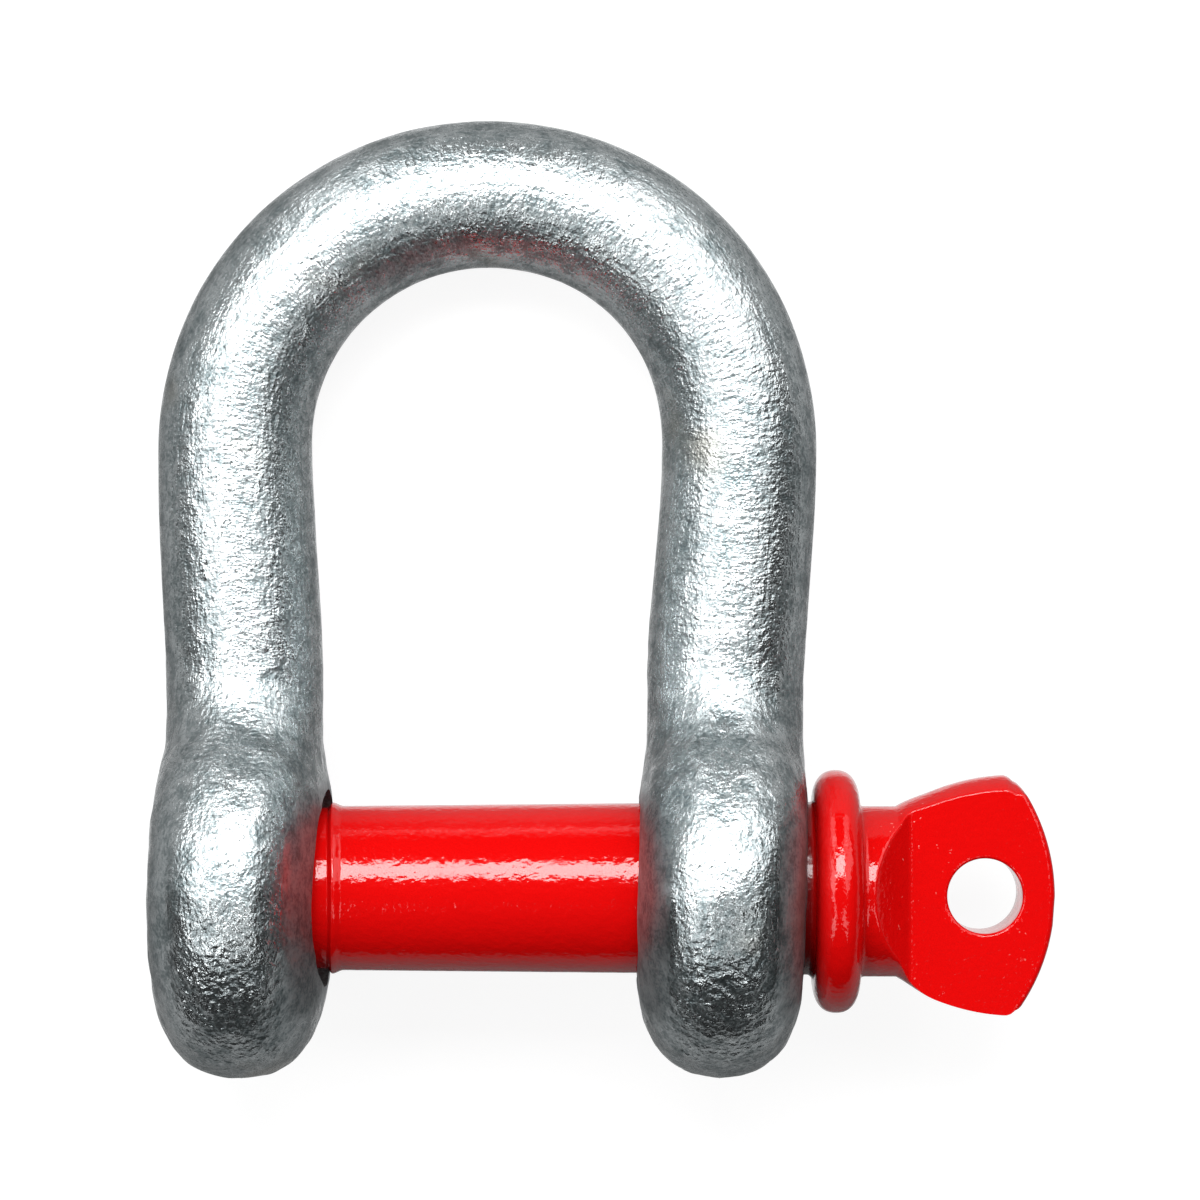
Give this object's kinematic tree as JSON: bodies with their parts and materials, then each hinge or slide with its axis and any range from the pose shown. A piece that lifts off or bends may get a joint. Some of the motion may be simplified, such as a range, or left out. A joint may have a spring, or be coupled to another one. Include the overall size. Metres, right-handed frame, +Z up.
{
  "type": "screw pin chain shackle",
  "caption": "Screw pin chain shackle: a galvanised forged bow closed by a red screw pin with a collar and a drilled flat head, joins chain and rigging.",
  "frame": {"origin": "on the floor, under the middle of the shackle's bounding box", "axes": "+X along the pin towards its head, +Y from the pin to the crown, +Z up from the floor that the shackle lies on"},
  "size_m": [0.1382, 0.146, 0.0588],
  "materials": {
    "galvanised_steel": "hot-dip galvanised, fine grain, half bright",
    "red_paint": "glossy red paint"
  },
  "bodies": {
    "bow": {"bow": "galvanised_steel"},
    "pin": {"pin": "red_paint"}
  },
  "joints": [
    {"name": "pin_draw", "type": "slide", "parent": "bow", "child": "pin", "axis": [1, 0, 0], "range_m": [0, 0.105]}
  ]
}
